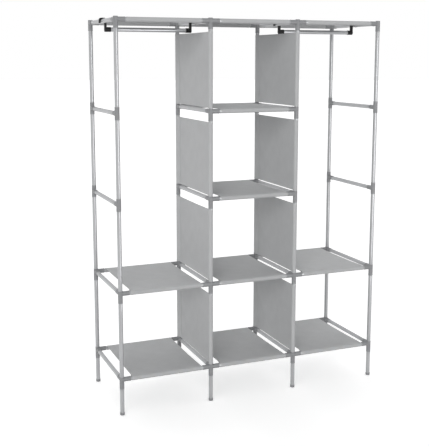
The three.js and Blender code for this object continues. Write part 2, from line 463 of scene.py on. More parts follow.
def steel_tube(name, axis, start, stop, at, body, node):
    """An open tube along an axis from start to stop. Its closed profile is two straight walls and
    two half circles of half the wall's thickness."""
    half = TUBE_WALL / 2
    lip = tube_radius - half
    top = rounding(lip, stop - half, half, 0, 180, LIP_POINTS)
    bottom = rounding(lip, start + half, half, 180, 360, LIP_POINTS)
    along = np.linspace(start, stop, WALL_RINGS + 2)[1:-1]
    outside = np.stack([np.full(WALL_RINGS, tube_radius), along], axis=1)
    inside = np.stack([np.full(WALL_RINGS, tube_radius - TUBE_WALL), along[::-1]], axis=1)
    profile = np.concatenate([outside, top, inside, bottom])
    column = int(TUBE_SIDES * (GOLDEN_SHARE * len(made) % 1))
    bead = np.where(profile[:, 0] > lip, BEAD_HEIGHT, 0)
    points = revolved(profile, TUBE_SIDES, (column, bead))
    quads = grid_quads(len(profile), TUBE_SIDES, wrap_rows=True, wrap_columns=True)
    tube_lengths.append(stop - start)
    mesh = new_mesh(name, placed(points, axis, at), quads)
    return add_piece(name, mesh, steel, "tube_steel", body, node)


# %% [markdown]
# The uprights are not one piece: a leg, three equal lengths and a top length stand end to end, and
# each joint is hidden in a connector, where a web keeps the two ends apart. The rails between the
# uprights stop just short of the barrels.

# %% Uprights, depth rails and cross rails
WEB = 2 * MM  # plastic between the two tube ends that meet in a barrel
END_PLAY = 0.3 * MM  # between a tube's end and the plastic
cap_heights = corners_of("foot_cap_left_outer_front")[:, 2]
foot_height = cap_heights.max()
foot_floor = cap_heights[(cap_heights > HAIR) & (cap_heights < foot_height - HAIR)].min()
# Every rail ends at the same distance from the axis of its upright
rail_end = box_of("cross_rail_left_front_level_1")[0][0] - upright_place["left_outer", "front"][0]


def joint_height(pair, row, level):
    """The height of a barrel's web: halfway up, or just over the arms' plane in the closed top ones."""
    above, below = barrel_span(pair, row, level)
    if level == TOP_LEVEL:
        return level_height[level] + WEB / 2
    return level_height[level] + (above - below) / 2


for pair in PAIRS:
    for row in ROWS:
        place = (*upright_place[pair, row], 0)
        # The foot cap's floor counts as the upper face of a lowest web
        webs = [foot_floor - WEB / 2] + [joint_height(pair, row, level) for level in LEVELS]
        for number, (low, high) in enumerate(zip(webs, webs[1:]), start=1):
            steel_tube(f"upright_{pair}_{row}_length_{number}", "z", low + WEB / 2 + END_PLAY,
                       high - WEB / 2 - END_PLAY, place, "frame", f"side_frame_{pair}")
    front, back = (upright_place[pair, row] for row in ROWS)
    for level in LEVELS:
        steel_tube(f"depth_tube_{pair}_level_{level}", "y", front[1] + rail_end, back[1] - rail_end,
                   (front[0], 0, level_height[level]), "frame", f"side_frame_{pair}")

for bay in BAYS:
    for level in shelf_levels[bay]:
        for row in ROWS:
            node = f"cross_rail_{bay}_{row}_level_{level}"
            low, high = box_of(node)
            at = (0, (low[1] + high[1]) / 2, level_height[level])
            steel_tube(f"cross_tube_{bay}_{row}_level_{level}", "x", low[0], high[0], at, "frame", node)
print(len(made), "tubes,", round(sum(tube_lengths), 2), "m in all")

# %% [markdown]
# ## Connectors
#
# A connector is a short upright barrel with one to three arms, all of the same radius. Boolean
# unions of cylinders would leave ragged edges, so its skin is worked out spoke by spoke: a line of
# the skin runs parallel to its spoke and starts where it leaves the next spoke's skin. For equal
# radii at right angles that is at radius times the cosine of the angle towards the neighbour.
# Neighbouring spokes then share the same points along their mitre, and merging closes the skin.
# A few rounds of averaging along the mitres give the soft inner corners of a moulding, and each
# open end gets a raised band, a chamfer and a socket with a flat bottom.

# %% Connector measures
CONNECTOR_SIDES = 48
BAND_RISE = 0.25 * MM
BAND_WIDTH = 4 * MM
BAND_GAP = 0.15 * MM  # least distance of a band from the crossing spoke's skin
SOCKET_PLAY = 0.12 * MM
CHAMFER = 0.4 * MM
CAP_ROUND = 2.2 * MM
CAP_POINTS = 6  # points over that rounding
ROW_STEP = 1.6 * MM  # mean distance of the rows of points along a spoke
LEAST_ROWS = 5
ROW_POWER = 1.3  # over one, so that the rows are closer together near the mitre
CORNER_SPREAD = 3.0 * MM  # how far the softening reaches from a mitre
CORNER_GAIN = 1.6  # a mitre deeper than the radius over this is softened in full
SOFTEN_ROUNDS = 14
SOFTEN_STEP = 0.5  # share of the way to the neighbours' mean in each round
skin_radius = connector_radius - BAND_RISE
bore_radius = tube_radius + SOCKET_PLAY
UNIT = np.eye(3)
print("connectors are", round(2 * skin_radius / MM, 1), "mm across between their bands, with bores of",
      round(2 * bore_radius / MM, 1), "mm")

# %% [markdown]
# A spoke ends in a profile of its own. It starts on the raised band, turns over the rim, and goes on
# to the axis: down the bore to its floor, or over the rounded crown of a closed end.

# %% Ends of a spoke
def socket_end(reach, bottom, band):
    """Profile of an open end: up to the raised band, over its chamfered rim and down the bore."""
    return np.array([
        (connector_radius, band + BAND_RISE), (connector_radius, reach - CHAMFER),
        (connector_radius - CHAMFER, reach), (bore_radius + CHAMFER, reach),
        (bore_radius, reach - CHAMFER), (bore_radius, (reach + bottom) / 2),
        (bore_radius, bottom), (0, bottom)])


def closed_end(reach, band):
    """Profile of a closed end: a band, a quarter round and a flat crown."""
    arc = rounding(connector_radius - CAP_ROUND, reach - CAP_ROUND, CAP_ROUND, 0, 90, CAP_POINTS)
    return np.concatenate([[(connector_radius, band + BAND_RISE)], arc, [(0, reach)]])


# %% [markdown]
# A spoke's skin starts at its mitre and ends in that profile. All spokes of a connector are then
# joined, welded and softened.

# %% Skin of a connector
def spoke_skin(direction, spokes):
    """Points, quads and softening weights of one spoke. Row by row the points are
    radius (cos a, sin a) across and `along` down the spoke, where `along` starts at the mitre.
    The weight is a bell curve of the distance from the mitre, and less where that is shallow."""
    axis, sign = direction
    reach, bottom = spokes[direction]
    band = max(reach - BAND_WIDTH, skin_radius + BAND_GAP)
    angle = 2 * np.pi * np.arange(CONNECTOR_SIDES) / CONNECTOR_SIDES
    second, third = UNIT[(axis + 1) % 3], UNIT[(axis + 2) % 3]
    across = np.outer(np.cos(angle), second) + np.outer(np.sin(angle), third)
    towards = [across @ (UNIT[other] * way) for other, way in spokes if other != axis]
    mitre = skin_radius * np.maximum(0, np.max(towards, axis=0))
    rows = max(LEAST_ROWS, int(band / ROW_STEP))
    share = np.linspace(0, 1, rows)[:, None] ** ROW_POWER
    along = mitre + (band - mitre) * share
    out = np.full_like(along, skin_radius)
    depth = np.clip(CORNER_GAIN * mitre / skin_radius, 0, 1)
    weight = np.exp(-((along - mitre) / CORNER_SPREAD) ** 2) * depth
    weight[-1] = 0
    end = closed_end(reach, band) if bottom is None else socket_end(reach, bottom, band)
    out = np.concatenate([out, np.repeat(end[:, :1], CONNECTOR_SIDES, axis=1)])
    along = np.concatenate([along, np.repeat(end[:, 1:], CONNECTOR_SIDES, axis=1)])
    weight = np.concatenate([weight, np.zeros((len(end), CONNECTOR_SIDES))])
    points = out[..., None] * across + along[..., None] * UNIT[axis] * sign
    quads = grid_quads(len(out), CONNECTOR_SIDES, wrap_columns=True)
    return points.reshape(-1, 3), quads[:, ::sign], weight.ravel()


def softened(points, quads, triangles, weight):
    """Moves each point part of the way to the mean of its neighbours, as far as its weight says."""
    edges = np.concatenate([quads[:, [k, (k + 1) % 4]] for k in range(4)]
                           + [triangles[:, [k, (k + 1) % 3]] for k in range(3)])
    edges = np.unique(np.sort(edges, axis=1), axis=0)
    both = np.concatenate([edges, edges[:, ::-1]])
    count = np.bincount(both[:, 0], minlength=len(points))[:, None]
    for _ in range(SOFTEN_ROUNDS):
        total = np.zeros_like(points)
        np.add.at(total, both[:, 0], points[both[:, 1]])
        points = points + SOFTEN_STEP * weight[:, None] * (total / count - points)
    return points


def connector_shape(spokes):
    """The whole skin of a connector with the given spokes, round the crossing of their axes."""
    parts = [spoke_skin(direction, spokes) for direction in spokes]
    points, quads = stacked([(points, quads) for points, quads, _ in parts])
    points, quads, triangles, number = welded(points, quads)
    weight = np.zeros(len(points))
    np.maximum.at(weight, number, np.concatenate([weight for _, _, weight in parts]))
    return softened(points, quads, triangles, weight), quads, triangles


# %% [markdown]
# There are forty connectors but only a few different ones: an outer corner with one cross arm, a
# tee where an outer bay has no shelf, an inner one with one or two cross arms, and closed ones at
# the top. Each has an arm towards the other row of uprights. The arms of a connector point to where
# the frame has a rail.

# %% Connectors
shapes = {}


def spokes_of(pair, row, level):
    """Direction (axis number, sign) to (reach, socket bottom) for each spoke of a connector."""
    above, below = barrel_span(pair, row, level)
    web = joint_height(pair, row, level) - level_height[level]
    closed = level == TOP_LEVEL
    arm = (arm_reach, rail_end - END_PLAY)
    spokes = {(2, 1): (above, None if closed else web + WEB / 2), (2, -1): (below, WEB / 2 - web)}
    spokes[(1, 1 if row == "front" else -1)] = arm
    for bay, (left, right) in BAYS.items():
        if level in shelf_levels[bay] and pair in (left, right):
            spokes[(0, 1 if pair == left else -1)] = arm
    return spokes


def kind_of(spokes):
    """Words that are the same for connectors that are alike to a hundredth of a millimetre."""
    sizes = {way: np.round(np.array(size, float) / MM, 2).tolist() for way, size in spokes.items()}
    return str(sorted(sizes.items()))


for pair in PAIRS:
    for row in ROWS:
        for level in LEVELS:
            spokes = spokes_of(pair, row, level)
            kind = kind_of(spokes)
            if kind not in shapes:
                shapes[kind] = connector_shape(spokes)
            points, quads, triangles = shapes[kind]
            place = np.array([*upright_place[pair, row], level_height[level]])
            name = f"connector_{pair}_{row}_level_{level}"
            add_piece(name, new_mesh(name, points + place, quads, triangles),
                      grey_plastic, "connector_plastic", "frame", f"side_frame_{pair}")
print(len(shapes), "different shapes for", len(PAIRS) * len(ROWS) * len(LEVELS), "connectors")

# %% [markdown]
# ## Foot caps
#
# A foot cap is a small moulded cup that the leg stands in. It is turned from one profile: a flat
# sole with a rounded edge, three shallow grip grooves, a rounded rim and the socket.

# %% Foot caps
SOLE_ROUND = 1.4 * MM
SOLE_POINTS = 5  # points over the sole's rounding
RIM_POINTS = 4  # points over the rim's rounding
GROOVES_AT = (4 * MM, 6.5 * MM, 9 * MM)  # heights above the floor
GROOVE_DEPTH = 0.25 * MM
GROOVE_HALF = 0.6 * MM  # half the width of a groove
foot_radius = extent("foot_cap_left_outer_front")[0] / 2


def foot_profile():
    """Rows of (distance out, height) from the middle of the sole round to the socket's floor."""
    sole = rounding(foot_radius - SOLE_ROUND, SOLE_ROUND, SOLE_ROUND, -90, 0, SOLE_POINTS)
    grooves = [(foot_radius - depth, height + step) for height in GROOVES_AT
               for step, depth in ((-GROOVE_HALF, 0), (0, GROOVE_DEPTH), (GROOVE_HALF, 0))]
    rim = rounding(foot_radius - CHAMFER, foot_height - CHAMFER, CHAMFER, 0, 90, RIM_POINTS)
    lead = CHAMFER / 2  # of the socket's mouth
    socket = [(bore_radius + lead, foot_height), (bore_radius, foot_height - lead),
              (bore_radius, foot_floor), (0, foot_floor)]
    return np.concatenate([[(0, 0)], sole, grooves, rim, socket])


points, quads, triangles = turned(foot_profile(), CONNECTOR_SIDES)
for pair in PAIRS:
    for row in ROWS:
        name = f"foot_cup_{pair}_{row}"
        mesh = new_mesh(name, points + [*upright_place[pair, row], 0], quads, triangles)
        add_piece(name, mesh, grey_plastic, "connector_plastic", "frame", f"foot_cap_{pair}_{row}")
print("foot caps", round(2 * foot_radius / MM, 1), "mm across")

# %% [markdown]
# ## Garment rails
#
# Each outer bay has a rod that hangs from two black hooks. A hook is a band that lies over the top
# rail: a short lip, an arch and a thicker stem, with a cup at its foot that the rod's end sits in.
# The band is a rounded rectangle carried along two edge curves, one against the rail and one
# outside, and the cup is turned about the rod's axis. A boolean union makes one moulding of them.

# %% Hook measures
HOOK_ROUND = 1.1 * MM  # edges of the band and the cup's back
HOOK_PLAY = 0.3 * MM  # between the band and the rail
LIP_STATIONS, ARCH_STATIONS, STEM_STATIONS = 4, 33, 8
SHOULDER_POWER = 0.62  # below one, which fills the shoulders of the arch out
TIP_SHARE = 0.75  # of the band's section, just before its tip closes
TIP_LIFT = 0.35 * HOOK_ROUND  # where the section is full again
CUP_WALL = 1.0 * MM
CUP_RIM = 0.5 * MM  # rounding of the rim
RIM_RISE = 0.2 * MM
RIM_WIDTH = 3 * MM
BACK_GAP = 0.2 * MM  # from the stem's inner face to the cup's back, inside the stem
MOUTH_LEAD = 0.3 * MM  # chamfer of the cup's mouth
hook_low, hook_high = box_of("hook_left_bay_left")
rod_height = middle("garment_rod_left")[2]
rail_height = level_height[TOP_LEVEL]
rail_x = upright_place["left_outer", "front"][0]
hook_crown = hook_high[2] - rail_height
hook_inner = tube_radius + HOOK_PLAY
cup_radius = rod_height - hook_low[2]
cup_reach = hook_high[0] - rail_x
hook_corners = corners_of("hook_left_bay_left") - np.array([rail_x, 0, rail_height])
lip_drop = -hook_corners[hook_corners[:, 0] < -hook_inner + HAIR, 2].min()
band_half = hook_corners[hook_corners[:, 2] > 0, 1].max()  # half the band's width along the rail
stem_face = middle("garment_rod_left")[0] - extent("garment_rod_left")[0] / 2 - END_PLAY - rail_x
rod_drop = rail_height - rod_height
print("hook: crown", round(hook_crown / MM, 1), "lip", round(lip_drop / MM, 1),
      "stem", round(stem_face / MM, 1), "cup", round(cup_radius / MM, 1))

# %% [markdown]
# The band could be a bevelled curve, but its thickness changes on the way: thin at the lip, thicker
# in the stem. So two edge curves are drawn, and the section is stretched between them.

# %% Band of a hook
def band_edges():
    """The inner and the outer edge of the band, station by station from the lip to the foot. Over
    the rail the inner edge is a half circle, and the outer one a quarter circle that goes on as a
    quarter ellipse out to the stem's face."""
    lip = np.linspace(-lip_drop, 0, LIP_STATIONS + 1)[:-1]
    arch = np.radians(np.linspace(180, 0, ARCH_STATIONS))
    stem = np.linspace(0, -rod_drop, STEM_STATIONS + 1)[1:]
    wide = np.where(np.cos(arch) > 0, stem_face, hook_crown)
    shoulder = wide * np.sign(np.cos(arch)) * abs(np.cos(arch)) ** SHOULDER_POWER
    inner = np.concatenate([
        np.stack([np.full(LIP_STATIONS, -hook_inner), lip], axis=1),
        hook_inner * np.stack([np.cos(arch), np.sin(arch)], axis=1),
        np.stack([np.full(STEM_STATIONS, hook_inner), stem], axis=1)])
    outer = np.concatenate([
        np.stack([np.full(LIP_STATIONS, -hook_crown), lip], axis=1),
        np.stack([shoulder, hook_crown * np.sin(arch) ** SHOULDER_POWER], axis=1),
        np.stack([np.full(STEM_STATIONS, stem_face), stem], axis=1)])
    return inner, outer


def band_skin():
    """The band's skin. At each station a point of the rounded rectangle is the middle between the
    two edges, plus a share of the way across, plus a distance along the rail. The end stations
    are repeated with a smaller section, which rounds the lip's tip off and closes both ends."""
    inner, outer = band_edges()
    size = np.concatenate([[0, TIP_SHARE], np.ones(len(inner)), [0]])[:, None]
    inner = np.concatenate([inner[:1], inner[:1], inner, inner[-1:]])
    outer = np.concatenate([outer[:1], outer[:1], outer, outer[-1:]])
    lift = np.zeros_like(size)
    lift[2] = TIP_LIFT
    thick = np.linalg.norm(outer - inner, axis=1)[:, None]
    corner = np.radians(np.arange(4)[:, None] * 90 + np.linspace(0, 90, 4)).ravel()
    outwards, sideways = np.repeat([1, -1, -1, 1], 4), np.repeat([1, 1, -1, -1], 4)
    across = size * (outwards * (0.5 - HOOK_ROUND / thick) + np.cos(corner) * HOOK_ROUND / thick)
    along = size * (sideways * (band_half - HOOK_ROUND) + np.sin(corner) * HOOK_ROUND)
    line = inner[:, None, :] + (0.5 + across)[..., None] * (outer - inner)[:, None, :]
    points = np.stack([line[..., 0], along, line[..., 1] + lift], axis=-1)
    return points.reshape(-1, 3), grid_quads(*points.shape[:2], wrap_columns=True)


# %% [markdown]
# The cup is open towards the rod. Its back lies just inside the stem, so that the two skins cross
# cleanly, and the exact boolean leaves one closed skin with no face inside it.

# %% Cup of a hook, and the whole hook
def cup_profile():
    """The cup along the rod: a rounded back, a wall with a raised rim, and the bore."""
    back, bore = hook_inner + BACK_GAP, cup_radius - CUP_WALL
    wall, rim = cup_radius - RIM_RISE, cup_reach - RIM_WIDTH
    back_corner = 0.3 * HOOK_ROUND  # in from the square corner, the middle of a rounding
    rim_corner = CUP_RIM / 3
    return np.array([
        (0, back), (cup_radius - HOOK_ROUND, back), (cup_radius - back_corner, back + back_corner),
        (wall, back + HOOK_ROUND), (wall, rim), (cup_radius, rim + RIM_RISE),
        (cup_radius, cup_reach - CUP_RIM), (cup_radius - rim_corner, cup_reach - rim_corner),
        (cup_radius - CUP_RIM, cup_reach), (bore + MOUTH_LEAD, cup_reach),
        (bore, cup_reach - MOUTH_LEAD), (bore, (stem_face + cup_reach) / 2), (bore, stem_face),
        (0, stem_face)])


def united(first, second):
    """The union of two closed meshes as a new mesh, by the exact boolean."""
    objects = [bpy.data.objects.new("part", mesh) for mesh in (first, second)]
    for item in objects:
        bpy.context.scene.collection.objects.link(item)
    join = objects[0].modifiers.new("join", "BOOLEAN")
    join.operation, join.solver, join.object = "UNION", "EXACT", objects[1]
    graph = bpy.context.evaluated_depsgraph_get()
    result = bpy.data.meshes.new_from_object(objects[0].evaluated_get(graph))
    for item in objects:
        bpy.data.objects.remove(item)
    return result


band = new_mesh("band", *welded(*band_skin())[:3])
cup = new_mesh("cup", *turned(cup_profile(), CONNECTOR_SIDES, "x", (0, 0, -rod_drop)))
hook = united(band, cup)
print("hook has", len(hook.polygons), "faces")

# %% [markdown]
# The four hooks are the same moulding, and the one at a bay's right side faces the other way. Its
# copy is turned half round the upright axis, which keeps the faces outwards, and the turn goes into
# the mesh. Hooks and rod move together as one body when the rail is slid along the depth rails.

# %% Hooks and rods
def turned_copy(mesh, name, half_turn, at):
    """A copy of a mesh at its place, with a half turn about the upright axis if asked for, which
    makes (-x, -y, z) of (x, y, z)."""
    points = np.empty(3 * len(mesh.vertices), dtype=np.float32)
    mesh.vertices.foreach_get("co", points)
    points = points.reshape(-1, 3) * ([-1, -1, 1] if half_turn else [1, 1, 1]) + at
    copy = mesh.copy()
    copy.name = name
    copy.vertices.foreach_set("co", points.astype(np.float32).ravel())
    copy.shade_smooth()
    copy.set_sharp_from_angle(angle=math.radians(SHARP_OVER))
    return copy


for bay in ("left", "right"):
    body = f"garment_rail_{bay}"
    for side, pair in zip(("left", "right"), BAYS[bay]):
        name = f"hook_moulding_{bay}_bay_{side}"
        at = np.array([upright_place[pair, "front"][0], 0, rail_height])
        add_piece(name, turned_copy(hook, name, side == "right", at), black_plastic,
                  "hook_plastic", body, f"hook_{bay}_bay_{side}")
    node = f"garment_rod_{bay}"
    low, high = box_of(node)
    steel_tube(f"garment_tube_{bay}", "x", low[0], high[0], (0, 0, rod_height), body, node)
print(len(made), "pieces so far")

# %% [markdown]
# ## Cloth
#
# A shelf or divider is one rectangle of non-woven. Its two long ends are turned over a tube and
# sewn down as a sleeve, and the other two edges are hemmed. Cloth simulation would relax the sheet,
# but here it is pulled tight between two tubes, so its form is known: a path that goes round the
# tubes, carried along them, with a slight sag, small gathers along the stitch lines, and free edges
# that are drawn in a little. The sheet is worked out as a middle surface, and gets its thickness
# along the normals, with a rounded edge all round, so that it is one closed skin.

# %% Cloth path
CLOTH = 0.7 * MM
SLEEVE_PLAY = 0.15 * MM
PLY_GAP = 0.1 * MM  # between the two plies at a seam
PEEL_AT = 23 * MM  # where the two plies part, from the tube's axis
SEAM_AT = 27 * MM  # stitch line of a sleeve, from the tube's axis
LAP_END = 34 * MM  # where the turned-over ply ends, from the tube's axis
EASE_FROM, EASE_TO = LAP_END + 4 * MM, LAP_END + 16 * MM  # where a divider finds the middle plane
CIRCLE_POINTS = 400
FINE_STEP = 0.25 * MM  # of the first, finely drawn path
EASE_WINDOW = 25  # points of it that a moving mean takes in
SLEEVE_STEP = 1.7 * MM
SPAN_ROWS = 50
sleeve_middle = tube_radius + SLEEVE_PLAY + CLOTH / 2


def half_path(on_top):
    """Half of the cross-section, from the end of the turned ply to the middle of the span, as rows
    of (distance from the tube's axis, side). The ply runs straight to where its line touches the
    sleeve's circle, follows the circle, and leaves it on the line of the main ply. That line lies
    level with the circle's top for a shelf, and in the tubes' middle plane for a divider."""
    main = sleeve_middle if on_top else (CLOTH + PLY_GAP) / 2
    span = main if on_top else 0
    ply = main - CLOTH - PLY_GAP
    touch = math.atan2(ply, PEEL_AT) - math.acos(sleeve_middle / math.hypot(PEEL_AT, ply))
    leave = math.pi / 2
    if not on_top:
        leave = math.atan2(main, PEEL_AT) + math.acos(sleeve_middle / math.hypot(PEEL_AT, main))
    around = np.linspace(touch, leave - 2 * np.pi, CIRCLE_POINTS)
    circle = sleeve_middle * np.stack([np.cos(around), np.sin(around)], axis=1)
    lap = [(LAP_END, ply), (SEAM_AT, ply), (PEEL_AT, ply)]
    out = [(PEEL_AT, main), (EASE_FROM, main), (EASE_TO, span), (depth_pitch / 2, span)]
    return np.concatenate([lap, circle, out])


def run_along(path):
    """Length of a path up to each of its points."""
    return np.concatenate([[0], np.cumsum(np.linalg.norm(np.diff(path, axis=0), axis=1))])


def read_along(path, at):
    """Points of a path at the given lengths along it."""
    run = run_along(path)
    return np.stack([np.interp(at, run, column) for column in path.T], axis=1)


def cloth_path(on_top):
    """The whole path from ply end to ply end, the length at each of its rows, and its whole length.
    It is drawn finely, a moving mean over 6 mm eases its corners, and rows are taken 1.7 mm apart
    round the tubes and some 7 mm apart between them."""
    half = half_path(on_top)
    other = half[::-1] * [-1, 1] + [depth_pitch, 0]
    path = np.concatenate([half, other[1:]])
    fine = read_along(path, np.arange(0, run_along(path)[-1], FINE_STEP))
    beside = EASE_WINDOW // 2
    padded = np.pad(fine, ((beside, beside), (0, 0)), mode="edge")
    mean = np.ones(EASE_WINDOW) / EASE_WINDOW
    eased = np.stack([np.convolve(column, mean, mode="valid") for column in padded.T], axis=1)
    eased[0], eased[-1] = fine[0], fine[-1]
    total = run_along(eased)[-1]
    sleeve = (total - depth_pitch) / 2 + LAP_END
    ends = np.arange(0, sleeve, SLEEVE_STEP)
    span = np.linspace(sleeve, total - sleeve, SPAN_ROWS)[1:-1]
    stations = np.concatenate([ends, span, total - ends[::-1]])
    return read_along(eased, stations), stations, total


shelf_path = cloth_path(on_top=True)
divider_path = cloth_path(on_top=False)
for kind, (_, stations, cut) in (("shelf", shelf_path), ("divider", divider_path)):
    print("a", kind, "is cut", round(cut / MM, 1), "mm long and has", len(stations), "rows")

# %% [markdown]
# The middle surface is the path carried along the tubes, with a lift that depends on where a point
# lies between the two stitch lines. A parabola gives the sag of a shelf. Sines of uneven lengths
# give the gathers, which are strongest just inside a stitch line and die out within a few
# centimetres, and the long waves of a cloth that was folded in its box. Both plies take the same
# lift, so that they never pass through each other.

# %% Middle surface
HEM = 9 * MM
HEM_STITCH = 6.5 * MM  # stitch line of a hem, from the free edge
HEM_PRESSED = 0.8  # of a cloth's thickness, what the hem's second ply adds
HEM_COLUMNS = np.array([0, 0.8, 4, 7.6, 8.8, 10.4, 14]) * MM  # from the free edge
COLUMN_STEP = 6.5 * MM  # between the two hems
EDGE_SAG, EDGE_POWER = 0.35, 6  # the free edges sag by this share more
GATHER = 0.6 * MM  # the most that a gather may lift the cloth
GATHER_START = 6 * MM  # within which the gathers rise from a stitch line
GATHER_FADE = 22 * MM
GATHER_WAVES = np.array([23, 31, 44, 71]) * MM
FOLD = 1.0 * MM  # the most that the long waves may lift it
FOLD_WAVES_ALONG = np.array([150, 260, 410]) * MM
FOLD_WAVES_ACROSS = np.array([210, 330, 540]) * MM
FOLD_SLANTS = (0.4, -0.3)  # by which the two sets of waves lean
DRAWN_IN = 0.5 * MM  # of a free edge, at the middle of the span
DRAWN_UNEVEN, DRAWN_TURNS = 0.3, 7  # share by which that varies, and radians over the depth
shelf_length = extent("shelf_left_level_1")[0]


def columns_of(length):
    """Places of the columns along the tubes: close together over each hem, 6.5 mm apart between."""
    edge = HEM_COLUMNS[-1]
    count = int((length - 2 * edge) / COLUMN_STEP) + 1
    inner = np.linspace(edge, length - edge, count)[1:-1]
    return np.concatenate([HEM_COLUMNS, inner, length - HEM_COLUMNS[::-1]]) - length / 2


def uneven_waves(place, lengths, phases):
    """Mean of sines of several wave lengths, each with its own phase: an uneven, smooth ripple."""
    sines = [np.sin(2 * np.pi * place / wave + phase) for wave, phase in zip(lengths, phases)]
    return np.mean(sines, axis=0)


def middle_surface(path, length, sag, random):
    """Grid of points (along, across, side): rows follow the path, columns lie along the tubes."""
    along = columns_of(length)[None, :]
    across, side = path[:, :1], path[:, 1:]
    inside = np.clip(across - SEAM_AT, 0, None)
    beyond = np.clip(depth_pitch - SEAM_AT - across, 0, None)
    share = np.clip(inside / (depth_pitch - 2 * SEAM_AT), 0, 1)
    bow = 4 * share * (1 - share)
    edge = (2 * abs(along) / length) ** EDGE_POWER
    lift = -sag * bow * (1 + EDGE_SAG * edge)
    for distance in (inside, beyond):
        phases = random.uniform(0, 2 * np.pi, 4)
        fade = np.exp(-distance / GATHER_FADE) * np.clip(distance / GATHER_START, 0, 1)
        lift = lift + GATHER * uneven_waves(along, GATHER_WAVES, phases) * fade
    phases = random.uniform(0, 2 * np.pi, 6)
    fold = (uneven_waves(along + FOLD_SLANTS[0] * across, FOLD_WAVES_ALONG, phases[:3])
            * uneven_waves(across + FOLD_SLANTS[1] * along, FOLD_WAVES_ACROSS, phases[3:]))
    lift = lift + FOLD * fold * bow
    uneven = 1 + DRAWN_UNEVEN * np.sin(DRAWN_TURNS * across / depth_pitch + phases[0])
    along = along * (1 - 2 * DRAWN_IN / length * bow * uneven)
    return np.stack(np.broadcast_arrays(along, across, side + lift), axis=-1)


def hem_thickness(length):
    """Thickness by column: two plies of cloth within the hem, one between."""
    edge = length / 2 - abs(columns_of(length))
    return CLOTH * (1 + HEM_PRESSED * (edge < HEM - CLOTH / 2))


print("a shelf has", len(columns_of(shelf_length)), "columns of points along its tubes")

# %% [markdown]
# A Solidify modifier would give the sheet one even thickness, but the hems are nearly twice as thick
# as the rest, and the stitches have to know where both faces lie. So both faces are set off from the
# middle surface here, and a row of points a little further out joins them round the edge.

# %% Sheet with a thickness
RIM_OUT = 0.4  # of the cloth's thickness, how far the middle of the cut edge stands out


def unit(vectors):
    return vectors / np.linalg.norm(vectors, axis=-1, keepdims=True)


def normals_of(surface):
    """Unit normals of a grid of points: the cross product of its two directions."""
    return unit(np.cross(np.gradient(surface, axis=0), np.gradient(surface, axis=1)))


def thick_sheet(surface, normal, thickness):
    """Both faces lie half the thickness along the normals from the middle surface. Round the edge
    a row of points a little further out joins them, so the sheet is closed. Returns the points, the
    quads and the number of the grid point that each point came from."""
    rows, columns = surface.shape[:2]
    offset = normal * (thickness / 2)[None, :, None]
    numbers = np.arange(rows * columns).reshape(rows, columns)
    border = np.concatenate([numbers[0, :-1], numbers[:-1, -1], numbers[-1, :0:-1], numbers[:0:-1, 0]])
    row, column = np.divmod(border, columns)
    inner = surface[np.clip(row, 1, rows - 2), np.clip(column, 1, columns - 2)]
    rim = surface[row, column] + unit(surface[row, column] - inner) * RIM_OUT * CLOTH
    top, bottom = (surface + offset).reshape(-1, 3), (surface - offset).reshape(-1, 3)
    grid = grid_quads(rows, columns)
    next_border = np.roll(border, -1)
    rim_number = 2 * rows * columns + np.arange(len(border))
    next_rim = np.roll(rim_number, -1)
    below = rows * columns
    quads = [grid, grid[:, ::-1] + below,
             np.stack([next_border, border, rim_number, next_rim], axis=1),
             np.stack([next_rim, rim_number, border + below, next_border + below], axis=1)]
    source = np.concatenate([numbers.ravel(), numbers.ravel(), border])
    return np.concatenate([top, bottom, rim]), np.concatenate(quads), source


# %% [markdown]
# The stitches are short lengths of thread that lie half sunk in the cloth, some four millimetres
# apart along each sleeve and each hem. One stitch is a small closed spindle of a few faces. Copies
# are set down all at once: the surface is read between its grid points at each stitch's place, and
# the spindle's own axes are turned to the line of the seam and to the cloth's normal there.

# %% Stitches
STITCH_PITCH = 4.2 * MM
STITCH_HALF = 1.55 * MM  # half the length of a stitch
STITCH_FULL = 0.6 * STITCH_HALF  # up to which it keeps its full thickness
STITCH_SIDES = 5
THREAD = 0.3 * MM  # radius
spindle, spindle_quads, spindle_triangles = turned(np.array([
    (0, -STITCH_HALF), (THREAD, -STITCH_FULL), (THREAD, STITCH_FULL), (0, STITCH_HALF)]), STITCH_SIDES)
print("a stitch has", len(spindle_quads), "quads and", len(spindle_triangles), "triangles")


def between(grid, row, column):
    """Values of a grid at fractional rows and columns: the mean of the four nearest, by nearness."""
    above, left = (np.clip(np.floor(at).astype(int), 0, count - 2)
                   for at, count in zip((row, column), grid.shape))
    down, right = (row - above)[:, None], (column - left)[:, None]
    upper = grid[above, left] * (1 - right) + grid[above, left + 1] * right
    lower = grid[above + 1, left] * (1 - right) + grid[above + 1, left + 1] * right
    return upper * (1 - down) + lower * down


def seam_line(skin, normal, rows, columns):
    """Stitches along a line that is given by fractional rows and columns of the grid: points,
    quads and triangles. A point p of the spindle goes to the stitch's centre plus p's three
    coordinates along the cloth's normal, across the seam and along it."""
    line = between(skin, rows, columns)
    run = run_along(line)
    at = np.arange(STITCH_PITCH, run[-1] - STITCH_PITCH / 2, STITCH_PITCH)
    rows, columns = np.interp(at, run, rows), np.interp(at, run, columns)
    centre, up = between(skin, rows, columns), unit(between(normal, rows, columns))
    ahead = unit(read_along(line, at + THREAD) - read_along(line, at - THREAD))
    axes = np.stack([up, np.cross(ahead, up), ahead], axis=1)
    points = centre[:, None, :] + np.einsum("pk,nkj->npj", spindle, axes)
    first = (np.arange(len(at)) * len(spindle))[:, None, None]
    quads, triangles = spindle_quads + first, spindle_triangles + first
    return points.reshape(-1, 3), quads.reshape(-1, 4), triangles.reshape(-1, 3)


# %% [markdown]
# Thread is spun polyester in a slightly lighter grey. It is twisted from three plies, which the eye
# sees as a fine slanting ribbing along it.

